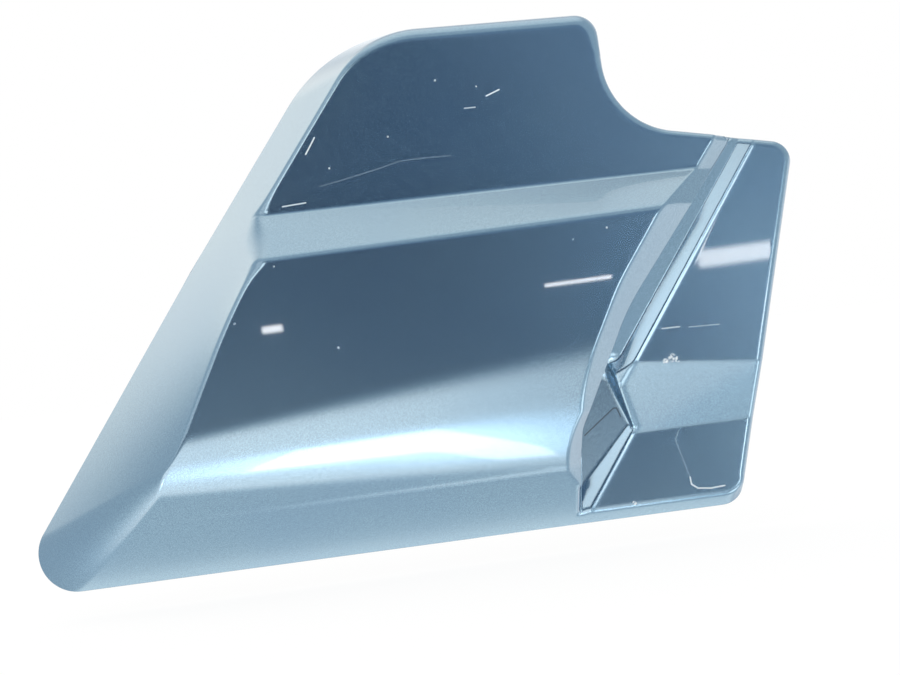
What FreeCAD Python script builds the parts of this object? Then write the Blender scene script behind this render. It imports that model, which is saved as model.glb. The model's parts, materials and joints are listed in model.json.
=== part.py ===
import FreeCAD, Part
import math
import os

# Left-hand motorcycle side cover: one moulded shell with three push-in posts. Millimetres and degrees.
# It is drawn lying down: x runs rearward from the nose corner, y runs up the cover, z runs outward
# from the rim. At the end it is stood up, outward to -Y and up to +Z, with the upper post at the origin.

WALL = 3.0             # wall of the moulding
RIM = 4.0              # upright rim below the flanks
EDGE_R = 2.5           # rounding of the outer edges

# Outline at the rim, corners before rounding.
BOTTOM = 384.2         # bottom edge, nose corner to heel corner
NOSE_RAKE = 37.0       # front edge from the nose to the bend, from upright
CROWN_RAKE = 38.3      # front edge from the bend to the crown, from upright
BEND_HEIGHT = 156.9    # bend of the front edge
CROWN_HEIGHT = 267.0   # crown corner
TOP_FALL = 3.0         # fall of the top edge towards the rear
NOTCH_FORE = 41.7      # notch wall, forward of the heel corner
TAIL_HEIGHT = 180.4    # tail corner
TAIL_FALL = 13.0       # fall of the rear top edge
REAR_RAKE = 15.7       # rear edge, from upright
NOSE_R = 20.0
HEEL_R = 12.0
TAIL_R = 11.0
NOTCH_R = 38.0
TOP_R = 13.0
CROWN_R = 80.0
BEND_R = 1500.0

# The outline at the lower panel's height, as runs inwards in plan from the rim.
BOTTOM_RUN = 55.7      # bottom flank
REAR_RUN = 4.0         # rear edge
TAIL_RUN = 3.0         # rear top edge and notch
TOP_RUN = 5.0          # top edge
FRONT_RUN = 32.0       # front flank, bend to crown
NOSE_RUN = 100.5       # nose corner to the lower panel's corner, along the bottom
HIGH_NOSE_R = 10.0     # rounding between the front and bottom flanks
HIGH_CROWN_R = 21.0
HIGH_BEND_R = 300.0

# Faces of the bulge: heights above the rim plane and the lines between them.
LOWER_PANEL = 52.0
UPPER_PANEL = 31.0
STRIP_DROP = 25.4      # foot of the sloping strip, below the tail corner
STRIP_WIDTH = 25.5     # foot of the strip to its head at the front
STRIP_FALL = 1.35      # fall of the strip's head towards the rear
STRIP_FOOT_R = 6.0
STRIP_HEAD_R = 2.0
ROLL_START = 60.0      # the lower panel's roll grows from here rearward
ROLL_CLIMB = 7.5       # climb of the corner under the roll, from the bottom flank's head
ROLL_FRONT_R = 35.0
ROLL_FRONT_EASE = 0.75 # how much less the roll falls than the bottom flank
ROLL_REAR_R = 172.8
ROLL_REAR_EASE = 7.75

# Valley wall, at the rim and at the lower panel, forward of the heel corner.
FOOT_FORE = 76.7       # foot of the wall at its bend
FOOT_BEND = 45.0
FOOT_TURN_FORE = 47.2  # foot of the wall where it turns
FOOT_TURN = 102.0
FOOT_RAKE = 40.2
RIDGE_FORE = 81.7      # ridge above the bend
RIDGE_BEND = 64.0
RIDGE_LOW_RAKE = 22.9
RIDGE_TURN_FORE = 50.7
RIDGE_TURN = 120.3
RIDGE_RAKE = 36.6
BEND_WALL_R = 25.0
TURN_WALL_R = 120.0

# Valley floors, rear plates and the band between them.
FLOOR_LOWER = 6.0
FLOOR_UPPER = 12.0
FLOOR_TILT = 2.5       # rise of the upper floor
STEP_LOW = 76.0        # step between the floors
STEP_HIGH = 88.0
REAR_LOWER = 10.0
REAR_UPPER = 19.0
BAND_LOW = 43.5        # foot of the band
BAND_HIGH = 74.3       # head of the band at the heel corner
BAND_FALL = 6.5        # fall of the band's head towards the rear
STEP_R = 6.0           # soft lines along the step
LIP_RAKE = 36.0        # lips of both plates, banked at 45
LIP_UPPER_FORE = 58.7  # end of the upper lip, forward of the heel corner
LIP_UPPER = 80.5
LIP_LOWER_FORE = 50.7  # start of the lower lip
LIP_LOWER = 47.0
LIP_UPPER_R = 6.0
LIP_LOWER_R = 8.0

# Posts on the back.
PIN_R = 4.75
PIN_LENGTH = 20.0
PIN_TIP = 1.5
SHOULDER = 2.0         # shoulder of the posts above the rim plane
BOSS_R = 7.0
RIB = 2.4              # gusset ribs
RIB_SPREAD = 12.0
UPPER_POST = (255.0, 222.0)
FRONT_POST = (142.0, 85.0)
REAR_POST = (385.0, 115.0)

OUT = 70.0             # how far cutting shapes reach past the outline
SHORT = 1.0            # edges under this length stay sharp


def tan(angle):
    return math.tan(math.radians(angle))


def wire(corners, radii, place):
    """Closed wire through the corners, each rounded by its radius; place turns a corner into a point."""
    points = [place(a, b) for a, b in corners]
    starts, ends, arcs = [], [], []
    for i, p in enumerate(points):
        a = points[i - 1].sub(p).normalize()
        b = points[(i + 1) % len(points)].sub(p).normalize()
        half = a.getAngle(b) / 2.0
        starts.append(p.add(a * (radii[i] / math.tan(half))))
        ends.append(p.add(b * (radii[i] / math.tan(half))))
        if radii[i] > 0:
            middle = p.add(a.add(b).normalize() * (radii[i] / math.sin(half) - radii[i]))
            arcs.append([Part.Arc(starts[i], middle, ends[i]).toShape()])
        else:
            arcs.append([])
    chain = []
    for i in range(len(points)):
        chain += arcs[i]
        chain.append(Part.makeLine(ends[i], starts[(i + 1) % len(points)]))
    return Part.Wire(chain)


def inset(corners, gaps):
    """The same outline with each side, from its corner to the next, moved inwards by its gap."""
    lines = []
    for i, (ax, ay) in enumerate(corners):
        bx, by = corners[(i + 1) % len(corners)]
        length = math.hypot(bx - ax, by - ay)
        nx, ny = (ay - by) / length, (bx - ax) / length
        lines.append((nx, ny, nx * ax + ny * ay + gaps[i]))
    moved = []
    for i in range(len(corners)):
        (a, b, c), (d, e, f) = lines[i - 1], lines[i]
        det = a * e - b * d
        moved.append(((c * e - b * f) / det, (a * f - c * d) / det))
    return moved


def level(z):
    return lambda x, y: FreeCAD.Vector(x, y, z)


def station(x):
    return lambda y, z: FreeCAD.Vector(x, y, z)


def loft(*wires):
    return Part.makeLoft(list(wires), True, True)


def square_gap(gap, run, rise):
    """Inset in plan that leaves a sloping side a wall of this gap, measured square to it."""
    return gap * math.hypot(run, rise) / rise


RISE = LOWER_PANEL - RIM
flank = math.degrees(math.atan2(RISE, BOTTOM_RUN))
FAR = BOTTOM + 2 * OUT
notch = BOTTOM - NOTCH_FORE
bend = BEND_HEIGHT * tan(NOSE_RAKE)
crown = bend + (CROWN_HEIGHT - BEND_HEIGHT) * tan(CROWN_RAKE)
tail = BOTTOM + TAIL_HEIGHT * tan(REAR_RAKE)
notch_height = TAIL_HEIGHT + (tail - notch) * tan(TAIL_FALL)
top_height = CROWN_HEIGHT - (notch - crown) * tan(TOP_FALL)
ABOVE = CROWN_HEIGHT + OUT
strip_low = TAIL_HEIGHT - STRIP_DROP
notch_wall = top_height - notch_height - TOP_R - TOP_RUN
notch_r = min(NOTCH_R, notch_wall / tan((90 - TAIL_FALL) / 2) - TAIL_RUN - WALL)


def sides(gap, low):
    """Everything inside the flanks: the upright rim, then ruled up to the lower panel's height."""
    outline = [(0, 0), (BOTTOM, 0), (tail, TAIL_HEIGHT), (notch, notch_height), (notch, top_height),
               (crown, CROWN_HEIGHT), (bend, BEND_HEIGHT)]
    runs = [BOTTOM_RUN, REAR_RUN, TAIL_RUN, TAIL_RUN, TOP_RUN, FRONT_RUN, FRONT_RUN]
    high = inset(outline, runs)
    high[0] = (NOSE_RUN, BOTTOM_RUN)
    high[6] = (bend + FRONT_RUN * math.cos(math.radians(CROWN_RAKE)),
               BEND_HEIGHT - FRONT_RUN * math.sin(math.radians(CROWN_RAKE)))
    gaps = [square_gap(gap, run, RISE) for run in runs]
    foot_r = [NOSE_R - gap, HEEL_R - gap, TAIL_R - gap, notch_r + gap, TOP_R - gap, CROWN_R - gap, BEND_R]
    high_r = [HIGH_NOSE_R - gap, HEEL_R - REAR_RUN - gap, TAIL_R - TAIL_RUN - gap,
              notch_r + TAIL_RUN + gap, TOP_R - TAIL_RUN - gap, HIGH_CROWN_R - gap, HIGH_BEND_R]
    foot = inset(outline, gaps)
    return loft(wire(foot, foot_r, level(low)), wire(foot, foot_r, level(RIM)),
                wire(inset(high, gaps), high_r, level(LOWER_PANEL)))


def bulge(gap):
    """Everything under the two panels, the strip and the roll, forward of the valley wall."""

    def profile(x, roll, roll_r, ease):
        strip_high = strip_low + STRIP_WIDTH - (x - ROLL_START) * tan(STRIP_FALL)
        corners = [(ABOVE, UPPER_PANEL), (strip_high, UPPER_PANEL), (strip_low, LOWER_PANEL),
                   (roll, LOWER_PANEL), (-OUT, LOWER_PANEL - (roll + OUT) * tan(flank - ease)),
                   (-OUT, -2 * OUT), (ABOVE, -2 * OUT)]
        radii = [0, STRIP_HEAD_R + gap, STRIP_FOOT_R - gap, roll_r - gap, 0, 0, 0]
        return wire(inset(corners, [gap, gap, gap, gap, 0, 0, 0]), radii, station(x))

    under = loft(profile(-OUT, BOTTOM_RUN, ROLL_FRONT_R, ROLL_FRONT_EASE),
                 profile(ROLL_START, BOTTOM_RUN, ROLL_FRONT_R, ROLL_FRONT_EASE),
                 profile(FAR, BOTTOM_RUN + ROLL_CLIMB, ROLL_REAR_R, ROLL_REAR_EASE))
    foot_bend, foot_turn = BOTTOM - FOOT_FORE, BOTTOM - FOOT_TURN_FORE
    ridge_bend, ridge_turn = BOTTOM - RIDGE_FORE, BOTTOM - RIDGE_TURN_FORE
    foot = [(-OUT, -OUT), (foot_bend, -OUT), (foot_bend, FOOT_BEND), (foot_turn, FOOT_TURN),
            (foot_turn + (ABOVE - FOOT_TURN) * tan(FOOT_RAKE), ABOVE), (-OUT, ABOVE)]
    ridge = [(-OUT, -OUT), (ridge_bend - (RIDGE_BEND + OUT) * tan(RIDGE_LOW_RAKE), -OUT),
             (ridge_bend, RIDGE_BEND), (ridge_turn, RIDGE_TURN),
             (ridge_turn + (ABOVE - RIDGE_TURN) * tan(RIDGE_RAKE), ABOVE), (-OUT, ABOVE)]
    gaps = [0, square_gap(gap, FOOT_BEND / 4, RISE), square_gap(gap, FOOT_BEND / 4, RISE),
            square_gap(gap, FOOT_BEND / 4, RISE), 0, 0]
    radii = [0, 0, BEND_WALL_R - gap, TURN_WALL_R - gap, 0, 0]
    wall = loft(wire(inset(foot, gaps), radii, level(-RIM)),
                wire(inset(ridge, gaps), radii, level(LOWER_PANEL)))
    return under.common(wall)


def rear(gap):
    """Everything under the valley floors and, behind the lips, under the rear plates and their band."""
    corners = [(ABOVE, FLOOR_UPPER + (ABOVE - STEP_HIGH) * tan(FLOOR_TILT)), (STEP_HIGH, FLOOR_UPPER),
               (STEP_LOW, FLOOR_LOWER), (-OUT, FLOOR_LOWER), (-OUT, -2 * OUT), (ABOVE, -2 * OUT)]
    corners = inset(corners, [gap, gap, gap, 0, 0, 0])
    floor = Part.Face(wire(corners, [0, STEP_R - gap, STEP_R - gap, 0, 0, 0], station(-OUT)))
    floor = floor.extrude(FreeCAD.Vector(FAR + OUT, 0, 0))

    def profile(x):
        high = BAND_HIGH - (x - BOTTOM) * tan(BAND_FALL)
        corners = [(ABOVE, REAR_UPPER), (high, REAR_UPPER), (BAND_LOW, REAR_LOWER), (-OUT, REAR_LOWER),
                   (-OUT, -2 * OUT), (ABOVE, -2 * OUT)]
        return wire(inset(corners, [gap, gap, gap, 0, 0, 0]), [0, 0, 0, 0, 0, 0], station(x))

    under = loft(profile(BOTTOM - 2 * OUT), profile(FAR))
    upper, lower = BOTTOM - LIP_UPPER_FORE, BOTTOM - LIP_LOWER_FORE
    lip = [(lower - (LIP_LOWER + RIM) * tan(LIP_RAKE), -RIM), (FAR + OUT, -RIM), (FAR + OUT, ABOVE),
           (upper + (ABOVE - LIP_UPPER) * tan(LIP_RAKE), ABOVE), (upper, LIP_UPPER), (lower, LIP_LOWER)]
    radii = [0, 0, 0, 0, LIP_UPPER_R, LIP_LOWER_R]

    def bank(z):
        run = gap * math.sqrt(2) + z - REAR_LOWER
        return wire(inset(lip, [0, 0, 0, run, run, run]), radii, level(z))

    return floor.fuse(under.common(loft(bank(-RIM), bank(REAR_UPPER + REAR_LOWER))))


def form(gap, low):
    """The cover's whole body, moved inwards by gap all over."""
    return sides(gap, low).common(bulge(gap).fuse(rear(gap))).removeSplitter().Solids[0]


def outer_edges(solid):
    """Edges to round, above the lower plate: faces that meet at over 50 degrees, or 35 on the bulge."""
    found = []
    for edge in solid.Edges:
        faces = solid.ancestorsOfType(edge, Part.Face)
        middle = (edge.FirstParameter + edge.LastParameter) / 2.0
        point, along = edge.valueAt(middle), edge.tangentAt(middle)
        if len(faces) < 2 or point.z < REAR_LOWER + SHORT / 2 or edge.Length < SHORT:
            continue
        first, second = [face.normalAt(*face.Surface.parameter(point)) for face in faces]
        into = second.cross(along).normalize() * 0.2
        if faces[1].distToShape(Part.Vertex(point.add(into)))[0] > 0.1:
            into = into * -1
        least = 35 if point.z > REAR_UPPER + WALL else 50
        if first.getAngle(second) > math.radians(least) and into.dot(first) < 0:
            found.append(edge)
    return found


def post(x, y, inside):
    """Boss and crossed gussets grown into the wall, and the pin that stands out behind the rim."""
    height = LOWER_PANEL - SHOULDER
    grown = Part.makeCylinder(BOSS_R, height, FreeCAD.Vector(x, y, SHOULDER))
    for turn in (0, 90):
        half = BOSS_R - RIB / 2
        gusset = [(-half, SHOULDER), (half, SHOULDER), (half + RIB_SPREAD, LOWER_PANEL),
                  (-half - RIB_SPREAD, LOWER_PANEL)]
        plate = Part.Face(wire(gusset, [0, 0, 0, 0], lambda a, z: FreeCAD.Vector(x + a, y - RIB / 2, z)))
        plate = plate.extrude(FreeCAD.Vector(0, RIB, 0))
        plate.rotate(FreeCAD.Vector(x, y, 0), FreeCAD.Vector(0, 0, 1), turn)
        grown = grown.fuse(plate)
    pin = Part.makeCylinder(PIN_R, PIN_LENGTH + WALL, FreeCAD.Vector(x, y, SHOULDER - PIN_LENGTH))
    end = FreeCAD.Vector(x, y, SHOULDER - PIN_LENGTH - PIN_TIP)
    tip = Part.makeCone(PIN_R - PIN_TIP, PIN_R, PIN_TIP, end)
    return grown.common(inside).fuse([pin, tip])


outer = form(0.0, 0.0)
outer = outer.makeFillet(EDGE_R, outer_edges(outer))
shell = outer.cut(form(WALL, -RIM))
inside = form(WALL / 2.0, -RIM)
posts = [post(x, y, inside) for x, y in (UPPER_POST, FRONT_POST, REAR_POST)]
cover = shell.fuse(posts).removeSplitter().Solids[0]
cover.translate(FreeCAD.Vector(-UPPER_POST[0], -UPPER_POST[1], -SHOULDER))
cover.rotate(FreeCAD.Vector(0, 0, 0), FreeCAD.Vector(1, 0, 0), 90)
os.makedirs("parts", exist_ok=True)
cover.exportStep("parts/side_cover.step")
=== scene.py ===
import json
import math
import bpy
import numpy as np
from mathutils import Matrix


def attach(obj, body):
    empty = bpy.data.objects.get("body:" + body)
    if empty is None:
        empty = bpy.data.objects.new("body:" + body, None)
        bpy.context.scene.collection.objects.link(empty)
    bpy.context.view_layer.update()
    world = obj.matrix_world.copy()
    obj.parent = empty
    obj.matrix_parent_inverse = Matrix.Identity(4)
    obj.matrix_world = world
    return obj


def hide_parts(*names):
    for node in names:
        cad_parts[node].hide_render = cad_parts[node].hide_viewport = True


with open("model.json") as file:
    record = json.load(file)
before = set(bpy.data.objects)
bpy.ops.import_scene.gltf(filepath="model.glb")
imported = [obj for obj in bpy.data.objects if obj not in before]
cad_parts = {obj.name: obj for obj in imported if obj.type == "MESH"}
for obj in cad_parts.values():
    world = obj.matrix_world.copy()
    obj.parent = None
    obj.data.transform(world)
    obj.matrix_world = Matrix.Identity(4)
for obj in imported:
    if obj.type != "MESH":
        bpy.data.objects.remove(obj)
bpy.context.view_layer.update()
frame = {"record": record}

# The shell
# The cover is one injection moulding of plastic, painted outside: a hollow shell about 3 mm thick with a
# short upright rim. Its flanks, panels, valley and rear plates are flat or gently rolled faces that meet in
# rounded edges, and posts on its back push into grommets.

NOSE_X, BOTTOM_Z, RIM_Y = -0.255, -0.222, 0.002   # nose corner, bottom edge and rim plane from the upper post
WALL = 0.003
RIM = 0.004
RIM_ROUND = 0.0008

BOTTOM = 0.3842          # bottom edge, nose corner to heel corner
NOSE_RAKE, CROWN_RAKE, REAR_RAKE = 37.0, 38.3, 15.7
BEND_HEIGHT, CROWN_HEIGHT, TAIL_HEIGHT = 0.1569, 0.267, 0.1804
TOP_FALL, TAIL_FALL = 3.0, 13.0
NOTCH_FORE = 0.0417      # notch wall, forward of the heel corner
BOTTOM_RUN, REAR_RUN, TAIL_RUN, TOP_RUN, FRONT_RUN = 0.0557, 0.004, 0.003, 0.005, 0.032
NOSE_RUN = 0.1005        # nose corner to the lower panel's corner, along the bottom

LOWER_PANEL, UPPER_PANEL = 0.052, 0.031
STRIP_LOW, STRIP_WIDTH, STRIP_FALL = 0.155, 0.0255, 1.35
PANEL_ROUND, PANEL_FILL = 0.006, 0.0025
ROLL_START, ROLL_END = 0.060, 0.5242
ROLL_SHIFT = 0.0075       # the roll begins this much higher at its rear end
ROLL_FALL, ROLL_EASE = 40.0, 7.0
ROLL_RADIUS, ROLL_WIDEN = 0.035, 0.1378

FLOOR_LOWER, FLOOR_UPPER, FLOOR_TILT = 0.0092, 0.0196, 15.0   # the upper floor falls towards the lip
FLOOR_X, FLOOR_Y, FLOOR_MOST = 0.345, 0.115, 0.0225   # where it has its height, and the most it reaches
FLOOR_REARWARD, FLOOR_UPWARD = -0.217, 0.163          # its slopes along x and y
LOWER_Y, LOWER_UPWARD = 0.045, 0.05                   # place and slope of the lower floor
STEP_LOW, STEP_FALL = 0.073, 39.0
FLOOR_ROUND, FLOOR_FILL, FLOOR_TURN = 0.003, 0.0015, 0.8
REAR_LOWER, REAR_UPPER = 0.010, 0.019
BAND_LOW, BAND_HIGH, BAND_FALL, BAND_ROUND = 0.0435, 0.0743, 6.5, 0.006
LIP_RAKE, LIP_SLOPE, END_SLOPE, LIP_ROUND = 36.0, 14.0, 65.0, 0.003
LIP_BEAD, LIP_BEAD_WIDTH = 0.0005, 0.0018
LIP_UPPER_FORE, LIP_UPPER_Y = 0.0587, 0.0805   # lip corners, forward of the heel corner and up
LIP_LOWER_FORE, LIP_LOWER_Y = 0.0507, 0.047
LIP_ABOVE, LIP_BELOW = 0.25, 0.051             # how far the lips run on past their corners
WALL_FOOT, WALL_DRAFT = 0.24, 0.06   # the valley wall stands on this share of the way from foot to ridge
WALL_LOWEST, WALL_HIGHEST = -0.070, 0.337
FOOT_LOW_FORE, FOOT_LOW_Y, FOOT_HIGH_FORE, FOOT_HIGH_Y, FOOT_RAKE = 0.0767, 0.045, 0.0472, 0.102, 40.2
RIDGE_LOW_FORE, RIDGE_LOW_Y, RIDGE_HIGH_FORE, RIDGE_HIGH_Y = 0.0817, 0.064, 0.0507, 0.1203
RIDGE_LOW_RAKE, RIDGE_HIGH_RAKE = 22.9, 36.6
WALL_LOW_ROUND, WALL_HIGH_ROUND = 0.025, 0.120
RIDGE_ROUND, RIDGE_TURN, WALL_FILL, WALL_TURN = 0.0018, 0.6, 0.0015, 0.25   # turns are cosines
BOW, BOW_SHARE = 0.0016, 0.15        # the bottom flank turns under towards the rim
EDGE_ROUND, TOP_ROUND, STRIP_ROUND = 0.0032, 0.0040, 0.020
TOP_WIDTH, STRIP_END, STRIP_END_WIDTH, STRIP_END_X = 0.012, 0.166, 0.012, 0.23


def tan(angle):
    return math.tan(math.radians(angle))


def round_off(a, b, radius, cosine):
    """Depth inside two faces at once, their shared edge rounded by a circle.

    a and b are depths below the faces and cosine is that of the angle between their normals. Where the
    point lies past both tangent lines, the depth is the radius less its distance from the circle's centre.
    """
    p, q = a - radius, b - radius
    sine2 = 1 - cosine * cosine
    along_a = (p - q * cosine) / sine2
    along_b = (q - p * cosine) / sine2
    reach = np.sqrt(np.maximum(along_a ** 2 + along_b ** 2 + 2 * along_a * along_b * cosine, 0))
    return np.where((along_a < 0) & (along_b < 0), radius - reach, np.minimum(a, b))


def fill_in(a, b, radius, cosine):
    """Depth inside either of two faces, the hollow edge between them filled by a circle."""
    return -round_off(-a, -b, radius, cosine)


def left_of(x, y, start, end):
    """Distance to the left of the line from start to end: the cross product over the line's length."""
    dx, dy = end[0] - start[0], end[1] - start[1]
    return ((y - start[1]) * dx - (x - start[0]) * dy) / np.hypot(dx, dy)


def cosine_of(a, b, c):
    """Cosine of the turn at b on the way from a over b to c."""
    ux, uy, vx, vy = b[0] - a[0], b[1] - a[1], c[0] - b[0], c[1] - b[1]
    return (ux * vx + uy * vy) / np.hypot(ux, uy) / np.hypot(vx, vy)


def inset(corners, gaps):
    """The outline with each side, from its corner to the next, moved inwards by its gap."""
    lines = []
    for (ax, ay), (bx, by), gap in zip(corners, corners[1:] + corners[:1], gaps):
        length = math.hypot(bx - ax, by - ay)
        nx, ny = (ay - by) / length, (bx - ax) / length
        lines.append((nx, ny, nx * ax + ny * ay + gap))
    moved = []
    for (a, b, c), (d, e, f) in zip(lines[-1:] + lines[:-1], lines):
        det = a * e - b * d
        moved.append(((c * e - b * f) / det, (a * f - c * d) / det))
    return moved


RISE = LOWER_PANEL - RIM
bend = (BEND_HEIGHT * tan(NOSE_RAKE), BEND_HEIGHT)
crown = (bend[0] + (CROWN_HEIGHT - BEND_HEIGHT) * tan(CROWN_RAKE), CROWN_HEIGHT)
tail = (BOTTOM + TAIL_HEIGHT * tan(REAR_RAKE), TAIL_HEIGHT)
notch_x = BOTTOM - NOTCH_FORE
notch = (notch_x, TAIL_HEIGHT + (tail[0] - notch_x) * tan(TAIL_FALL))
top = (notch_x, CROWN_HEIGHT - (notch_x - crown[0]) * tan(TOP_FALL))
foot_outline = [(0.0, 0.0), (BOTTOM, 0.0), tail, notch, top, crown, bend]
runs = [BOTTOM_RUN, REAR_RUN, TAIL_RUN, TAIL_RUN, TOP_RUN, FRONT_RUN, FRONT_RUN]
head_outline = inset(foot_outline, runs)
head_outline[0] = (NOSE_RUN, BOTTOM_RUN)
head_outline[6] = (bend[0] + FRONT_RUN * math.cos(math.radians(CROWN_RAKE)),
                   bend[1] - FRONT_RUN * math.sin(math.radians(CROWN_RAKE)))
foot_radii = [0.020, 0.012, 0.011, 0.038, 0.013, 0.080, 1.5]
head_radii = [0.004, 0.008, 0.008, 0.041, 0.010, 0.030, 0.3]


def sides(x, y, h):
    """Distance in plan inside the flanks at height h.

    Corners and radii run straight from rim to panel height. The bottom flank bows by an exponential in
    height less a straight line.
    """
    f = np.maximum(h - RIM, 0) / RISE
    c = [(a[0] + f * (b[0] - a[0]), a[1] + f * (b[1] - a[1])) for a, b in zip(foot_outline, head_outline)]
    r = [a + f * (b - a) for a, b in zip(foot_radii, head_radii)]
    e = [left_of(x, y, c[i], c[(i + 1) % 7]) for i in range(7)]
    e[0] = e[0] + BOW * (1 - np.exp(-f / BOW_SHARE) - f)
    turn = [cosine_of(c[i - 1], c[i], c[(i + 1) % 7]) for i in range(7)]
    front = round_off(e[5], e[6], r[6], turn[6])
    fore = round_off(round_off(front, e[0], r[0], turn[0]), e[4], r[5], turn[5])
    aft = round_off(fill_in(e[2], e[3], r[3], turn[3]), e[1], r[2], turn[2])
    low = y < TAIL_HEIGHT / 2
    return round_off(fore, aft, np.where(low, r[1], r[4]), np.where(low, turn[1], turn[4]))


def square_to(distance, x, y, h):
    """Depth square to a sloping wall, from its distance in plan and how that changes with height."""
    nudge = 1e-6
    here = distance(x, y, h)
    slope = (distance(x, y, h + nudge) - here) / nudge
    return here / np.sqrt(1 + slope * slope)


def panel_lines(x):
    """Where the roll and the strip begin and how steeply they fall: profiles that change along x."""
    k = np.clip((x - ROLL_START) / (ROLL_END - ROLL_START), 0, 1)
    roll_y = BOTTOM_RUN + ROLL_SHIFT * k
    roll_fall = np.radians(ROLL_FALL - ROLL_EASE * k)
    roll_radius = ROLL_RADIUS + ROLL_WIDEN * k
    strip_high = STRIP_LOW + STRIP_WIDTH - (x - ROLL_START) * tan(STRIP_FALL)
    strip_fall = np.arctan2(LOWER_PANEL - UPPER_PANEL, strip_high - STRIP_LOW)
    return roll_y, roll_fall, roll_radius, strip_high, strip_fall


def panels(x, y, h):
    """Depth below the upper panel, the sloping strip, the lower panel and its roll."""
    roll_y, roll_fall, roll_radius, strip_high, strip_fall = panel_lines(x)
    strip = (UPPER_PANEL + (strip_high - y) * np.tan(strip_fall) - h) * np.cos(strip_fall)
    roll = (LOWER_PANEL - (roll_y - y) * np.tan(roll_fall) - h) * np.cos(roll_fall)
    lower = round_off(LOWER_PANEL - h, strip, PANEL_ROUND, np.cos(strip_fall))
    lower = round_off(lower, roll, roll_radius, np.cos(roll_fall))
    return fill_in(lower, UPPER_PANEL - h, PANEL_FILL, np.cos(strip_fall))


def ridge_height(x, y):
    """Height of the panels before their edges are rounded: the lowest of panel, strip and roll."""
    roll_y, roll_fall, _, strip_high, strip_fall = panel_lines(x)
    strip = UPPER_PANEL + (strip_high - y) * np.tan(strip_fall)
    roll = LOWER_PANEL - (roll_y - y) * np.tan(roll_fall)
    return np.maximum(UPPER_PANEL, np.minimum(LOWER_PANEL, np.minimum(strip, roll)))


foot_low, foot_high = BOTTOM - FOOT_LOW_FORE, BOTTOM - FOOT_HIGH_FORE
wall_foot = [(foot_low, WALL_LOWEST), (foot_low, FOOT_LOW_Y), (foot_high, FOOT_HIGH_Y),
             (foot_high + (WALL_HIGHEST - FOOT_HIGH_Y) * tan(FOOT_RAKE), WALL_HIGHEST)]
ridge_low, ridge_high = BOTTOM - RIDGE_LOW_FORE, BOTTOM - RIDGE_HIGH_FORE
wall_ridge = [(ridge_low - (RIDGE_LOW_Y - WALL_LOWEST) * tan(RIDGE_LOW_RAKE), WALL_LOWEST),
              (ridge_low, RIDGE_LOW_Y), (ridge_high, RIDGE_HIGH_Y),
              (ridge_high + (WALL_HIGHEST - RIDGE_HIGH_Y) * tan(RIDGE_HIGH_RAKE), WALL_HIGHEST)]


def wall_line(x, y, share):
    """Distance in plan left of a bent line, this share of the way from the wall's foot to its ridge."""
    c = [(a[0] + share * (b[0] - a[0]), a[1] + share * (b[1] - a[1])) for a, b in zip(wall_foot, wall_ridge)]
    low, middle, high = [left_of(x, y, c[i], c[i + 1]) for i in range(3)]
    bent = fill_in(low, middle, WALL_LOW_ROUND, cosine_of(c[0], c[1], c[2]))
    return fill_in(bent, high, WALL_HIGH_ROUND, cosine_of(c[1], c[2], c[3]))


def valley_wall(x, y, h):
    """Distance in plan inside the wall of the bulge: nearly upright, with a 45-degree bevel at the ridge."""
    ridge = ridge_height(x, y)
    upright = wall_line(x, y, WALL_FOOT + WALL_DRAFT * h / LOWER_PANEL)
    return np.minimum(upright, wall_line(x, y, (ridge + RIM) / (LOWER_PANEL + RIM)) + ridge - h)


lip_upper, lip_lower = (BOTTOM - LIP_UPPER_FORE, LIP_UPPER_Y), (BOTTOM - LIP_LOWER_FORE, LIP_LOWER_Y)
lip_points = [(lip_upper[0] + LIP_ABOVE * tan(LIP_RAKE), lip_upper[1] + LIP_ABOVE), lip_upper, lip_lower,
              (lip_lower[0] - LIP_BELOW * tan(LIP_RAKE), lip_lower[1] - LIP_BELOW)]


def bell(value, middle, width):
    """A bell curve of height 1: e to the minus square of the distance from the middle over the width."""
    return np.exp(-((value - middle) / width) ** 2)


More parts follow.
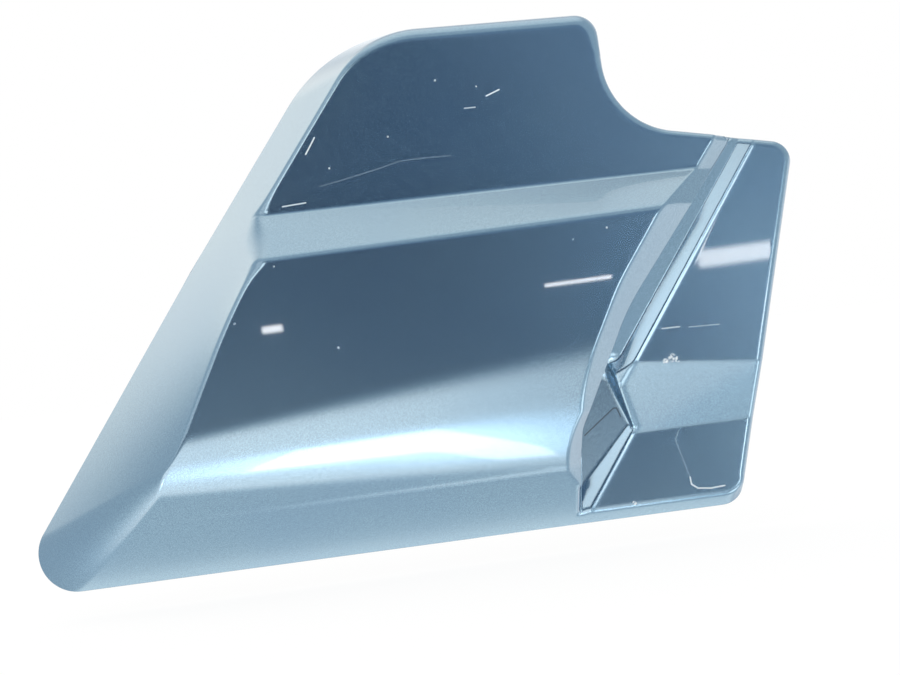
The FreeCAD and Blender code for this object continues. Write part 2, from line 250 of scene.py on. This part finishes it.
def rear_faces(x, y, h):
    """Depth below the valley floors and, behind gently banked lips, the rear plates and their band."""
    step_fall = math.radians(STEP_FALL)
    step = (FLOOR_LOWER + (y - STEP_LOW) * math.tan(step_fall) - h) * math.cos(step_fall)
    upper = FLOOR_UPPER + FLOOR_REARWARD * (x - FLOOR_X) + FLOOR_UPWARD * (y - FLOOR_Y) - h
    upper = np.minimum(upper * math.cos(math.radians(FLOOR_TILT)), FLOOR_MOST - h)
    floor = fill_in(FLOOR_LOWER + LOWER_UPWARD * (y - LOWER_Y) - h, step, FLOOR_FILL, math.cos(step_fall))
    floor = round_off(floor, upper, FLOOR_ROUND, FLOOR_TURN)
    band_high = BAND_HIGH - (x - BOTTOM) * tan(BAND_FALL)
    band_fall = np.arctan2(REAR_UPPER - REAR_LOWER, band_high - BAND_LOW)
    band = (REAR_LOWER + (y - BAND_LOW) * np.tan(band_fall) - h) * np.cos(band_fall)
    plates = fill_in(REAR_LOWER - h, band, BAND_ROUND, np.cos(band_fall))
    plates = round_off(plates, REAR_UPPER - h, BAND_ROUND, np.cos(band_fall))
    up, across, low = [left_of(x, y, lip_points[i], lip_points[i + 1]) for i in range(3)]
    plate = np.clip(REAR_LOWER + (y - BAND_LOW) * np.tan(band_fall), REAR_LOWER, REAR_UPPER)

    def bank(distance, height, slope):
        return (height + distance * tan(slope) - h) * math.cos(math.radians(slope))

    upper_gap = up - (REAR_UPPER - REAR_LOWER)
    banks = np.maximum(bank(across, plate, END_SLOPE), bank(low, REAR_LOWER, LIP_SLOPE))
    banks = np.minimum(bank(upper_gap, REAR_UPPER, LIP_SLOPE), banks)
    lip_gap = np.maximum(np.minimum(upper_gap, np.maximum(across, low)), 0)
    plates = plates + LIP_BEAD * bell(lip_gap, 0, LIP_BEAD_WIDTH)
    turn = math.cos(math.radians(LIP_SLOPE))
    return fill_in(floor, round_off(plates, banks, LIP_ROUND, turn), FLOOR_FILL, turn)


def faces(x, y, h):
    """Depth below everything but the flanks: the bulge inside its wall, and the rear faces beside it."""
    bulge = round_off(panels(x, y, h), square_to(valley_wall, x, y, h), RIDGE_ROUND, RIDGE_TURN)
    return fill_in(bulge, rear_faces(x, y, h), WALL_FILL, WALL_TURN)


def flanks(x, y, h):
    return square_to(sides, x, y, h)


def normal_of(depth, x, y, h):
    """Unit vector in which the depth grows fastest, by central differences."""
    d = 2e-5
    g = np.stack([depth(x + d, y, h) - depth(x - d, y, h), depth(x, y + d, h) - depth(x, y - d, h),
                  depth(x, y, h + d) - depth(x, y, h - d)])
    return g / np.linalg.norm(g, axis=0)


HEADROOM = 0.004


def solve_height(depth, shape):
    """Height at which the depth is nil, by halving the range from the rim to just above the panel."""
    low, high = np.full(shape, RIM), np.full(shape, LOWER_PANEL + HEADROOM)
    for _ in range(30):
        middle = (low + high) / 2
        inside = depth(middle) > 0
        low, high = np.where(inside, middle, low), np.where(inside, high, middle)
    return low


def spread(count, weight):
    """Places from 0 to 1 whose spacing is inverse to a weight, by the weight's running sum."""
    fine = np.linspace(0, 1, 4001)
    total = np.concatenate([[0], np.cumsum((weight(fine[1:]) + weight(fine[:-1])) / 2)])
    return np.interp(np.linspace(0, 1, count), total / total[-1], fine)


def front_x(y):
    return np.where(y < bend[1], y * tan(NOSE_RAKE), bend[0] + (y - bend[1]) * tan(CROWN_RAKE))


COARSE = 3                    # the inner wall takes every third line of the outer grid
COLUMNS, ROWS = COARSE * 124, (COARSE * 16, COARSE * 20, COARSE * 11, COARSE * 17)
EDGE = 1e-5                   # share of the fan left outside the first and last column
WALL_S, WALL_MOST = 0.8, 0.97   # column that follows the valley wall, and the most of the width it may reach
WALL_FROM, WALL_TO = 0.2, 0.6   # range of x in which the wall is looked for
INSIDE_Y, BELOW_Y, ABOVE_Y = 0.1, -0.01, 0.30   # a line inside the outline, and lines past its two edges
ROW_LOW, ROW_BAND, ROW_TOP = 0.050, 0.072, 0.120   # heights of the knots that rows are spread between
REAR_FROM, REAR_OVER = 0.74, 0.16   # columns over which the knots go from the bulge's to the rear's


def wall_x(y):
    """Where the valley wall stands at each y, by halving the range across the cover."""
    left, right = np.full_like(y, WALL_FROM), np.full_like(y, WALL_TO)
    for _ in range(30):
        middle = (left + right) / 2
        inside = wall_line(middle, y, WALL_FOOT + WALL_DRAFT / 2) > 0
        left, right = np.where(inside, middle, left), np.where(inside, right, middle)
    return left


def column_x(s, y):
    """Columns fan from the raked front edge at s = 0, over the valley wall, to the rear edge at s = 1."""
    front, rear = front_x(y), BOTTOM + y * tan(REAR_RAKE)
    knee = np.minimum((wall_x(y) - front) / (rear - front), WALL_MOST)
    share = np.where(s < WALL_S, s / WALL_S * knee, knee + (s - WALL_S) / (1 - WALL_S) * (1 - knee))
    return front + share * (rear - front)


def outline_y(s, far):
    """Where each column leaves the outline, by halving the way from a line inside it to a far one."""
    inner, outer = np.full_like(s, INSIDE_Y), np.full_like(s, far)
    for _ in range(40):
        middle = (inner + outer) / 2
        inside = sides(column_x(s, middle), middle, np.full_like(s, RIM)) > 0
        inner, outer = np.where(inside, middle, inner), np.where(inside, outer, middle)
    return inner


s = spread(COLUMNS + 1, lambda t: (1 + 1.2 * bell(t, 0.1, 0.07) + 1.8 * bell(t, WALL_S + 0.02, 0.07)
                                   + 9 * bell(t, WALL_S, 0.004)
                                   + 14 * np.exp(-t / 0.004) + 14 * np.exp((t - 1) / 0.004)))
s = EDGE + (1 - 2 * EDGE) * s
bottom_y, top_y = outline_y(s, BELOW_Y), outline_y(s, ABOVE_Y)
rearness = np.clip((s - REAR_FROM) / REAR_OVER, 0, 1)
strip_y = STRIP_LOW + STRIP_WIDTH - (column_x(s, STRIP_LOW) - ROLL_START) * tan(STRIP_FALL)
knots = [bottom_y, ROW_LOW + (BAND_LOW - ROW_LOW) * rearness, STRIP_LOW + (ROW_BAND - STRIP_LOW) * rearness,
         strip_y + (ROW_TOP - strip_y) * rearness, top_y]
rows = []
for part, count in enumerate(ROWS):
    ease = spread(count + 1, lambda t: (1 + 1.5 * bell(t, 0, 0.12) + 1.5 * bell(t, 1, 0.12)
                                        + (part == 0) * 3 * np.exp(-t / 0.03)
                                        + (part == 3) * 6 * np.exp((t - 1) / 0.03)))
    ease = ease[:-1] if part < 3 else ease
    rows.append(knots[part] + ease[:, None] * (knots[part + 1] - knots[part]))
y = np.concatenate(rows)
x = column_x(s[None, :], y)


def edge_radius(x, y):
    """Rounding of the edge round the faces, wide along the top and where the strip meets the flank."""
    top_gap = left_of(x, y, head_outline[4], head_outline[5])
    strip_end = bell(y, STRIP_END, STRIP_END_WIDTH) * (x < STRIP_END_X)
    return EDGE_ROUND + TOP_ROUND * bell(top_gap, 0, TOP_WIDTH) + STRIP_ROUND * strip_end


sharp = solve_height(lambda h: np.minimum(flanks(x, y, h), faces(x, y, h)), x.shape)
flank_normal, face_normal = normal_of(flanks, x, y, sharp), normal_of(faces, x, y, sharp)
meeting = np.clip((flank_normal * face_normal).sum(0), -0.9, 0.9995)
radius = edge_radius(x, y)


def body(x, y, h):
    """Depth below the whole outer skin: flanks and faces with the edge between them rounded."""
    return round_off(flanks(x, y, h), faces(x, y, h), radius, meeting)


h = solve_height(lambda h: body(x, y, h), x.shape)
out = -normal_of(body, x, y, h)


def placed(x, y, h):
    """Plan and height to the frame: x rearward, height outward to -Y, y up."""
    return np.stack([x + NOSE_X, RIM_Y - h, y + BOTTOM_Z], axis=-1)


def grid_quads(columns, rows, first):
    """Corner numbers of every cell of a grid stored row by row from a first number."""
    i = np.arange(rows - 1)[:, None] * columns + np.arange(columns - 1)[None, :] + first
    return np.stack([i, i + 1, i + columns + 1, i + columns], axis=-1).reshape(-1, 4)


def border(columns, rows, step=1):
    """Numbers round a grid's edge, once round: along the bottom, up, back along the top and down."""
    last = (rows - 1) * columns
    return np.concatenate([np.arange(0, columns - 1, step),
                           np.arange(columns - 1, last + columns - 1, columns * step),
                           np.arange(last + columns - 1, last, -step),
                           np.arange(last, 0, -columns * step)])


n_rows, n_columns = x.shape
outer_points = np.stack([x, y, h], axis=-1).reshape(-1, 3)
outer_out = out.reshape(3, -1).T
inner_pick = (np.arange(0, n_rows, COARSE)[:, None] * n_columns + np.arange(0, n_columns, COARSE)[None, :])
inner_rows, inner_columns = inner_pick.shape
inner_points = outer_points[inner_pick.ravel()] - WALL * outer_out[inner_pick.ravel()]
inner_points[:, 2] = np.maximum(inner_points[:, 2], RIM_ROUND)
ring = border(n_columns, n_rows)
ring_out = outer_out[ring] * [1, 1, 0]
ring_out /= np.linalg.norm(ring_out, axis=1)[:, None]
rim_points = [outer_points[ring] * [1, 1, 0] + [0, 0, RIM_ROUND],
              outer_points[ring] * [1, 1, 0] - RIM_ROUND * ring_out]
inner_ring = border(inner_columns, inner_rows)
foot_points = inner_points[inner_ring] * [1, 1, 0]

parts = [outer_points] + rim_points + [foot_points, inner_points]
starts = np.cumsum([0] + [len(p) for p in parts])
outer_quads = grid_quads(n_columns, n_rows, 0)
inner_quads = grid_quads(inner_columns, inner_rows, starts[4])[:, ::-1]


def bands(loops):
    """Quads between loops of equal length, each loop joined to the next and its end to its start."""
    found = []
    for a, b in zip(loops, loops[1:]):
        found.append(np.stack([np.roll(a, -1), a, b, np.roll(b, -1)], axis=-1))
    return np.concatenate(found)


upright_loop = starts[1] + np.arange(len(ring))
rim_loop = starts[2] + np.arange(len(ring))
foot_loop = starts[3] + np.arange(len(inner_ring))
wall_loop = starts[4] + inner_ring
rim_quads = bands([ring, upright_loop, rim_loop])
foot_quads = bands([foot_loop, wall_loop])
fine = rim_loop.reshape(-1, COARSE)
following = np.roll(rim_loop, -COARSE).reshape(-1, COARSE)[:, 0]
ahead = np.roll(foot_loop, -1)
sole = np.concatenate([np.stack([fine[:, 1], fine[:, 0], foot_loop], axis=-1),
                       np.stack([fine[:, 2], fine[:, 1], foot_loop], axis=-1),
                       np.stack([fine[:, 2], foot_loop, ahead], axis=-1),
                       np.stack([following, fine[:, 2], ahead], axis=-1)])

points = np.concatenate(parts)
quads = np.concatenate([outer_quads, rim_quads, foot_quads, inner_quads])


def mesh_piece(name, points, polygons, materials, slots):
    """A smooth object from points in the frame, groups of polygons and a material number for each polygon."""
    mesh = bpy.data.meshes.new(name)
    sizes = np.concatenate([np.full(len(p), p.shape[1]) for p in polygons])
    corners = np.concatenate([p.ravel() for p in polygons])
    mesh.vertices.add(len(points))
    mesh.vertices.foreach_set("co", points.astype(np.float32).ravel())
    mesh.loops.add(len(corners))
    mesh.loops.foreach_set("vertex_index", corners.astype(np.int32))
    mesh.polygons.add(len(sizes))
    mesh.polygons.foreach_set("loop_start", (np.cumsum(sizes) - sizes).astype(np.int32))
    for material in materials:
        mesh.materials.append(material)
    mesh.polygons.foreach_set("material_index", slots.astype(np.int32))
    mesh.polygons.foreach_set("use_smooth", np.ones(len(sizes), bool))
    mesh.update(calc_edges=True)
    mesh.validate()
    piece = bpy.data.objects.new(name, mesh)
    bpy.context.scene.collection.objects.link(piece)
    return piece


class Wire:
    """A node socket: arithmetic on it adds Math nodes, and add brings in any other node."""

    def __init__(self, tree, socket=None):
        self.tree, self.socket = tree, socket

    def add(self, kind, settings, sockets, output=0):
        node = self.tree.nodes.new(kind)
        for name, value in settings.items():
            setattr(node, name, value)
        for name, value in sockets.items():
            if isinstance(value, Wire):
                self.tree.links.new(value.socket, node.inputs[name])
            else:
                node.inputs[name].default_value = value
        return Wire(self.tree, node.outputs[output])

    def out(self, name):
        return Wire(self.tree, self.socket.node.outputs[name])

    def maths(self, operation, *terms):
        return self.add("ShaderNodeMath", {"operation": operation}, dict(enumerate(terms)))

    def __add__(self, other):
        return self.maths("ADD", self, other)

    def __sub__(self, other):
        return self.maths("SUBTRACT", self, other)

    def __rsub__(self, other):
        return self.maths("SUBTRACT", other, self)

    def __mul__(self, other):
        return self.maths("MULTIPLY", self, other)

    __radd__, __rmul__ = __add__, __mul__

    def larger(self, other):
        return self.maths("MAXIMUM", self, other)

    def rise(self, low, high):
        """0 below low, 1 above high and a smooth step between, or falling if high is below low."""
        ends = {"Value": self, "From Min": min(low, high), "From Max": max(low, high),
                "To Min": float(low > high), "To Max": float(low < high)}
        return self.add("ShaderNodeMapRange", {"interpolation_type": "SMOOTHSTEP"}, ends)

    def blend(self, first, second):
        """Colour mixed from the first to the second by this value."""
        ends = {"Factor": self, "A": first, "B": second}
        return self.add("ShaderNodeMix", {"data_type": "RGBA"}, ends, "Result")

    def vector(self, operation, first, second, output="Vector"):
        return self.add("ShaderNodeVectorMath", {"operation": operation}, {0: first, 1: second}, output)


paint = bpy.data.materials.new("slate_blue_paint")
paint.use_nodes = True
shader = paint.node_tree.nodes["Principled BSDF"]
nodes = Wire(paint.node_tree)
place = nodes.add("ShaderNodeTexCoord", {}, {}, "Object")
flat = nodes.vector("MULTIPLY", place, (1, 0, 1))


def stroke(points, width):
    """Mask of a line through points in millimetres, X and Z: nearness to its nearest straight length."""
    mask = None
    for (ax, az), (bx, bz) in zip(points, points[1:]):
        start, along = (ax / 1000, 0, az / 1000), ((bx - ax) / 1000, 0, (bz - az) / 1000)
        away = nodes.vector("SUBTRACT", flat, start)
        share = nodes.vector("DOT_PRODUCT", away, along, "Value") * (1 / (along[0] ** 2 + along[2] ** 2))
        share = nodes.add("ShaderNodeClamp", {}, {"Value": share})
        back = nodes.add("ShaderNodeVectorMath", {"operation": "SCALE"}, {0: along, "Scale": share})
        gap = nodes.vector("DISTANCE", away, back, "Value")
        near = gap.rise(width / 1000, width / 2500)
        mask = near if mask is None else mask.larger(near)
    return mask


def spot(x, z, size):
    gap = nodes.vector("DISTANCE", flat, (x / 1000, 0, z / 1000), "Value")
    return gap.rise(size / 1000, size / 3000)


def grain(scale, detail):
    return nodes.add("ShaderNodeTexNoise", {}, {"Vector": place, "Scale": scale, "Detail": detail})


normal = nodes.add("ShaderNodeNewGeometry", {}, {}, "Normal")
outward = nodes.add("ShaderNodeSeparateXYZ", {}, {0: normal}, "Y").rise(0.1, -0.1)
ragged = grain(900.0, 2.0).rise(0.35, 0.6)
# Light lines on the outer face. Most are scratches, but the third and fourth are painted glints near the
# upper panel's front edge, not scratches.
scratch_and_glint_lines = [   # points in X and Z, width, and how strongly the line shows
    ([(25.9, 1.0), (32.7, 3.3)], 0.42, 1.0),
    ([(14.2, -3.7), (19.6, -3.9)], 0.4, 0.6),
    ([(-68.2, -16.0), (-62.8, -8.3)], 0.45, 1.0),
    ([(-83.3, -40.6), (-71.5, -40.2)], 0.45, 0.8),
    ([(99.3, -127.2), (108.3, -127.4)], 0.5, 0.6),
    ([(113.0, -128.2), (128.6, -128.9)], 0.35, 0.35),
    ([(101.8, -180.3), (99.5, -184.6), (103.3, -200.9), (104.4, -205.0)], 0.5, 0.14),
    ([(104.4, -205.0), (104.6, -208.6), (107.6, -211.1), (114.2, -212.0), (121.5, -211.6)], 0.5, 0.8),
    ([(-63.4, -33.0), (-52.7, -31.5), (-42.0, -29.7), (-31.5, -27.8), (-22.1, -25.8), (-11.9, -25.7),
      (4.0, -26.4)], 0.45, 0.16)]
marks = [stroke(line, width) * strength for line, width, strength in scratch_and_glint_lines]
scratch_and_glint_mask = marks[0]
for mark in marks[1:]:
    scratch_and_glint_mask = scratch_and_glint_mask.larger(mark)
chips = [   # place in X and Z, and size
    (21.4, 6.3, 0.7), (-26.1, -12.7, 0.6), (-57.4, -24.6, 0.6), (-89.9, -70.8, 0.7), (-112.8, -96.4, 0.8),
    (-63.6, -114.9, 0.9), (75.5, -73.8, 0.7), (58.1, -77.4, 0.6), (1.3, 12.3, 0.8), (98.9, -143.8, 1.9),
    (102.2, -142.4, 2.8), (105.0, -143.6, 2.0), (74.3, -214.3, 1.4)]
chipped = spot(*chips[0])
for chip in chips[1:]:
    chipped = chipped.larger(spot(*chip))
# Mask of the scratches and chips together with the two painted glints, on outward faces only.
wear_and_glint_mask = scratch_and_glint_mask.larger(chipped * ragged) * outward
drawn = stroke([(53.5, -176.5), (70.0, -164.5), (71.6, -164.6), (73.2, -169.5)], 0.45) * 0.7
flake = grain(1600.0, 1.0).rise(0.3, 0.7)
cloud = grain(14.0, 2.0).rise(0.3, 0.7)
colour = flake.blend((0.130, 0.225, 0.310, 1), (0.165, 0.275, 0.365, 1))
colour = (cloud * 0.35).blend(colour, (0.125, 0.225, 0.335, 1))
colour = drawn.blend(colour, (0.03, 0.045, 0.06, 1))
# Matte, uncoated light grey over the scratches and chips, and over the two painted glints.
colour = wear_and_glint_mask.blend(colour, (0.66, 0.72, 0.76, 1))
peel = grain(260.0, 1.0)
bump = nodes.add("ShaderNodeBump", {}, {"Strength": 0.03, "Distance": 0.0002, "Height": peel})
for name, value in (("Base Color", colour), ("Metallic", 0.92 - wear_and_glint_mask * 0.8),
                    ("Roughness", 0.185 + flake * 0.04 + wear_and_glint_mask * 0.3),
                    ("Coat Weight", 1 - wear_and_glint_mask), ("Normal", bump)):
    paint.node_tree.links.new(value.socket, shader.inputs[name])
shader.inputs["Coat Roughness"].default_value = 0.015

bare = bpy.data.materials.new("bare_plastic")
bare.use_nodes = True
shader = bare.node_tree.nodes["Principled BSDF"]
nodes = Wire(bare.node_tree)
place = nodes.add("ShaderNodeTexCoord", {}, {}, "Object")
tone = grain(60.0, 3.0).blend((0.026, 0.028, 0.031, 1), (0.038, 0.041, 0.046, 1))
bump = nodes.add("ShaderNodeBump", {}, {"Strength": 0.15, "Distance": 0.0001, "Height": grain(1400.0, 2.0)})
for name, value in (("Base Color", tone), ("Roughness", 0.48 + grain(120.0, 2.0) * 0.15), ("Normal", bump)):
    bare.node_tree.links.new(value.socket, shader.inputs[name])

# Three posts grow from the back of the moulding: a round boss with crossed gussets, and the pin that
# pushes into a rubber grommet. They are closed surfaces of the same mesh, rooted in the wall.
SHOULDER, BOSS_R, PIN_R, PIN_LENGTH, PIN_TIP, SOFT = 0.002, 0.007, 0.00475, 0.020, 0.0015, 0.0005
RIB, RIB_SPREAD, RIB_STEPS, RIB_LEAST = 0.0024, 0.012, 40, 0.0002
TURN_STEPS, AXIS_GAP = 48, 1e-6
SHARP_ANGLE = 45.0   # edges that turn by more are shaded as sharp


def skin_height(px, py):
    """Height of the outer skin over plan points, from the nearest grid point to each."""
    along = x.ravel()[None, :] - np.atleast_1d(px)[:, None]
    up = y.ravel()[None, :] - np.atleast_1d(py)[:, None]
    return h.ravel()[(along ** 2 + up ** 2).argmin(1)]


def turned(px, py, profile):
    """A surface of revolution about a post's axis: each profile point, radius and height, goes once round."""
    angle = np.arange(TURN_STEPS) / TURN_STEPS * 2 * np.pi
    radius, height = np.array(profile).T
    ring = np.stack([px + radius[:, None] * np.cos(angle), py + radius[:, None] * np.sin(angle),
                     height[:, None] + 0 * angle], axis=-1).reshape(-1, 3)
    i = np.arange(len(profile) - 1)[:, None] * TURN_STEPS
    j, k = np.arange(TURN_STEPS)[None, :], (np.arange(TURN_STEPS)[None, :] + 1) % TURN_STEPS
    side = np.stack([i + j, i + TURN_STEPS + j, i + TURN_STEPS + k, i + k], axis=-1).reshape(-1, 4)
    return ring, side


def gusset(px, py, across):
    """A thin upright plate: a rectangle carried along it, its foot sloping and its head in the wall."""
    half = BOSS_R - RIB / 2
    a = np.linspace(-1, 1, RIB_STEPS + 1)
    top = skin_height(px + across[0] * RIB_SPREAD * a, py + across[1] * RIB_SPREAD * a).min() - WALL / 2
    a = a * (half + RIB_SPREAD * (top - SHOULDER) / (LOWER_PANEL - SHOULDER))
    foot = SHOULDER + SOFT + np.maximum(np.abs(a) - half, 0) / RIB_SPREAD * (LOWER_PANEL - SHOULDER)
    head = skin_height(px + across[0] * a, py + across[1] * a) - WALL / 2
    foot = np.minimum(foot, head - RIB_LEAST)
    b = np.array([-1, 1, 1, -1]) * RIB / 2
    z = np.stack([foot, foot, head, head], axis=1)
    plate_x = px + across[0] * a[:, None] - across[1] * b
    plate_y = py + across[1] * a[:, None] + across[0] * b
    ring = np.stack([plate_x, plate_y, z], axis=-1).reshape(-1, 3)
    i, j, k = np.arange(RIB_STEPS)[:, None] * 4, np.arange(4)[None, :], (np.arange(4)[None, :] + 1) % 4
    side = np.stack([i + j, i + 4 + j, i + 4 + k, i + k], axis=-1).reshape(-1, 4)
    ends = np.array([[0, 1, 2, 3], [3, 2, 1, 0]]) + np.array([[0], [RIB_STEPS * 4]])
    return ring, np.concatenate([side, ends])


post_points, post_quads, count = [], [], len(points)
for mount in frame["record"]["mounts"]:
    px, py = mount["pos_m"][0] - NOSE_X, mount["pos_m"][2] - BOTTOM_Z
    root = skin_height(px, py)[0] - WALL / 2
    end = SHOULDER - PIN_LENGTH
    profile = [(AXIS_GAP, end - PIN_TIP), (PIN_R - PIN_TIP - SOFT, end - PIN_TIP),
               (PIN_R - PIN_TIP, end - PIN_TIP + SOFT / 3), (PIN_R - SOFT / 3, end - SOFT / 3),
               (PIN_R, end + SOFT), (PIN_R, SHOULDER - SOFT), (PIN_R + SOFT / 3, SHOULDER),
               (BOSS_R - SOFT, SHOULDER), (BOSS_R - SOFT / 3, SHOULDER + SOFT / 3),
               (BOSS_R, SHOULDER + SOFT), (BOSS_R, root), (AXIS_GAP, root)]
    for surface in (turned(px, py, profile), gusset(px, py, (1, 0)), gusset(px, py, (0, 1))):
        post_points.append(surface[0])
        post_quads.append(surface[1] + count)
        count += len(surface[0])
post_quads = np.concatenate(post_quads)
points = np.concatenate([points] + post_points)
slots = np.concatenate([np.zeros(len(outer_quads) + len(rim_quads)),
                        np.ones(len(foot_quads) + len(inner_quads) + len(post_quads) + len(sole))])
shell = mesh_piece("cover_shell", placed(*points.T), [quads, post_quads, sole], [paint, bare], slots)
shell.data.set_sharp_from_angle(angle=math.radians(SHARP_ANGLE))
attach(shell, "root")
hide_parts("side_cover")

# The studio
# A pale floor under white surroundings, and a soft light all round: dark ahead of the flat panels, light
# below and beside them, with a few small lamps for glints. The camera stands square to the cover, about a
# metre away, and is rolled a little.

FLOOR_Z, FLOOR_HALF, FLOOR_GLOW = -0.236, 9, 0.93
floor_mesh = bpy.data.meshes.new("floor")
floor_mesh.from_pydata([(-FLOOR_HALF, -FLOOR_HALF, FLOOR_Z), (FLOOR_HALF, -FLOOR_HALF, FLOOR_Z),
                        (FLOOR_HALF, FLOOR_HALF, FLOOR_Z), (-FLOOR_HALF, FLOOR_HALF, FLOOR_Z)],
                       [], [(0, 1, 2, 3)])
floor = bpy.data.objects.new("floor", floor_mesh)
bpy.context.scene.collection.objects.link(floor)
floor_paint = bpy.data.materials.new("pale_floor")
floor_paint.use_nodes = True
tree = floor_paint.node_tree
shader = tree.nodes["Principled BSDF"]
shader.inputs["Base Color"].default_value = (0.85, 0.87, 0.88, 1)
shader.inputs["Roughness"].default_value = 0.9
nodes = Wire(tree)
glow = nodes.add("ShaderNodeEmission", {}, {})
share = nodes.add("ShaderNodeLightPath", {}, {}, "Is Camera Ray") * FLOOR_GLOW
mix = nodes.add("ShaderNodeMixShader", {}, {"Fac": share, 1: Wire(tree, shader.outputs["BSDF"]), 2: glow})
tree.links.new(mix.socket, tree.nodes["Material Output"].inputs["Surface"])
floor_mesh.materials.append(floor_paint)
floor.visible_glossy = False
floor.visible_shadow = False

world = bpy.data.worlds.new("studio")
world.use_nodes = True
bpy.context.scene.world = world
nodes = Wire(world.node_tree)
ray = nodes.add("ShaderNodeSeparateXYZ", {}, {0: nodes.add("ShaderNodeTexCoord", {}, {}, "Generated")})
side = nodes.maths("ARCTAN2", ray, ray.out("Y") * -1.0) * math.degrees(1)
lift = nodes.maths("ARCSINE", ray.out("Z")) * math.degrees(1)


def window(low_side, high_side, low_lift, high_lift, soft):
    """Mask of a soft-edged rectangle of directions, in degrees right of the camera's axis and up."""
    across = side.rise(low_side - soft, low_side + soft) * side.rise(high_side + soft, high_side - soft)
    up = lift.rise(low_lift - soft, low_lift + soft) * lift.rise(high_lift + soft, high_lift - soft)
    return across * up


light = ray.out("Z").rise(0.8, 0.97).blend((1.0, 1.05, 1.08, 1), (2.0, 1.85, 1.7, 1))
light = (ray.out("Y").rise(-0.1, 0.06) * ray.out("Z").rise(-0.8, -0.95)).blend(light, (2.1, 2.0, 1.85, 1))
light = window(-150, -104, 4, 58, 16).blend(light, (2.15, 1.95, 1.75, 1))
light = window(68, 130, -55, 5, 8).blend(light, (1.9, 1.7, 1.6, 1))
zone = side.rise(-60, -50) * ray.rise(0.11, 0.085) * lift.rise(-78, -70) * lift.rise(-5, -14)
light = zone.blend(light, ray.rise(-0.02, 0.07).blend((2.9, 2.55, 2.3, 1), (2.1, 1.9, 1.75, 1)))
dark = side.rise(-50, -38) * side.rise(26, 14) * (lift + side * 0.3).rise(-18, 1) * lift.rise(40, 24)
shade = (side * 2.0 + lift).rise(8, 19).blend((0.015, 0.05, 0.13, 1), (0.37, 0.49, 0.65, 1))
light = dark.blend(light, shade)
lamps = [   # window of directions with its softness, and level
    ((22, 50, -58, -30, 6), (4, 3.7, 3.4, 1)),
    ((-62, -30, 9, 42, 3), (1.6, 1.5, 1.45, 1)),
    ((-30, -12, 9, 24, 1.5), (3.8, 3.5, 3.2, 1)),
    ((13.5, 22, -14, -1, 1.5), (7, 6.4, 5.9, 1)),
    ((-40, -30, -48, -40, 2), (9, 9, 9, 1)),
    ((7.6, 9.8, 1.05, 1.55, 0.12), (14, 14, 14, 1)),
    ((3.0, 5.0, 1.1, 1.2, 0.03), (20, 20, 20, 1)),
    ((-5.5, -4.9, 0.85, 1.05, 0.05), (20, 20, 20, 1))]
for directions, level in lamps:
    light = window(*directions).blend(light, level)
taper = (nodes.maths("ABSOLUTE", ray + 0.015) - 0.035).larger(0.0) * 6.0
tube_top = (ray.out("Z") + taper).rise(-0.61, -0.65)
tube_foot = (ray.out("Z") + ray.rise(0.005, 0.035) * 0.1).rise(-0.84, -0.80)
tube = tube_top * tube_foot * ray.rise(0.063, 0.057) * ray.out("Y").rise(0.0, -0.1)
light = tube.blend(light, (9, 9, 9, 1))
seen = nodes.add("ShaderNodeLightPath", {}, {}, "Is Camera Ray").blend(light, (1, 1, 1, 1))
world.node_tree.links.new(seen.socket, world.node_tree.nodes["Background"].inputs["Color"])

CAMERA_AT, CAMERA_ROLL = (-0.0085, -0.998, -0.1172), 7.7
SENSOR, FOCAL_PIXELS, FRAME_PIXELS = 36.0, 1923, 900
camera_data = bpy.data.cameras.new("camera")
camera_data.sensor_width = SENSOR
camera_data.lens = SENSOR * FOCAL_PIXELS / FRAME_PIXELS
camera = bpy.data.objects.new("camera", camera_data)
camera.location = CAMERA_AT
camera.rotation_euler = (math.pi / 2, math.radians(CAMERA_ROLL), 0)
bpy.context.scene.collection.objects.link(camera)
bpy.context.scene.camera = camera
bpy.context.scene.view_settings.view_transform = "Standard"
